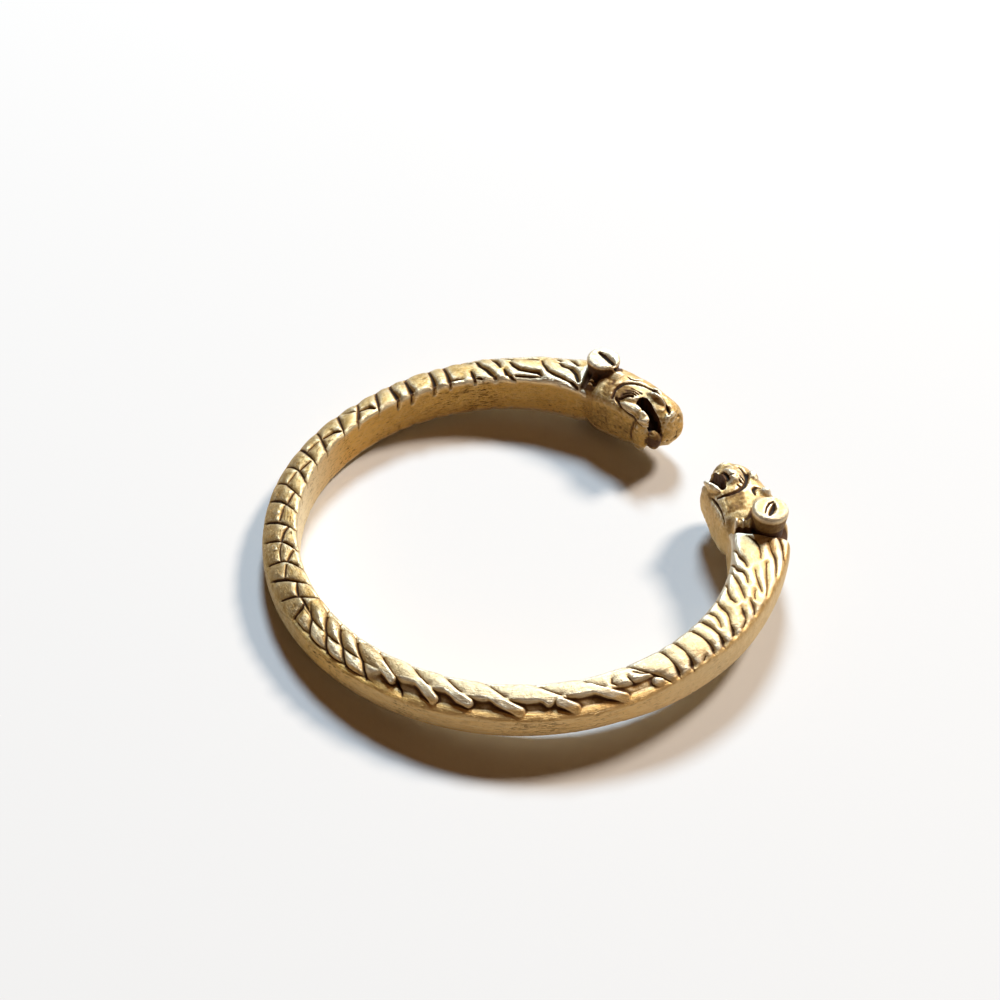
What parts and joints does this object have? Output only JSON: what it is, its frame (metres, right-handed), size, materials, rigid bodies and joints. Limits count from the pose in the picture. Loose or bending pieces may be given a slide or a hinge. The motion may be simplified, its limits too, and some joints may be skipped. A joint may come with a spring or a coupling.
{
  "type": "bangle",
  "caption": "Open cast brass bangle with scaled band and two maned beast heads facing each other across a narrow gap, lying flat.",
  "frame": {"origin": "centre of the wrist opening at half the thickness of the casting", "axes": "+Z along the ring axis, towards the upper face; +X through the middle of the gap between the heads"},
  "size_m": [0.0626, 0.0632, 0.0122],
  "materials": {
    "brass": "cast brass, worn bright on the high places, dark brown in the carving"
  },
  "bodies": {
    "root": {"bangle": "brass"}
  },
  "joints": []
}
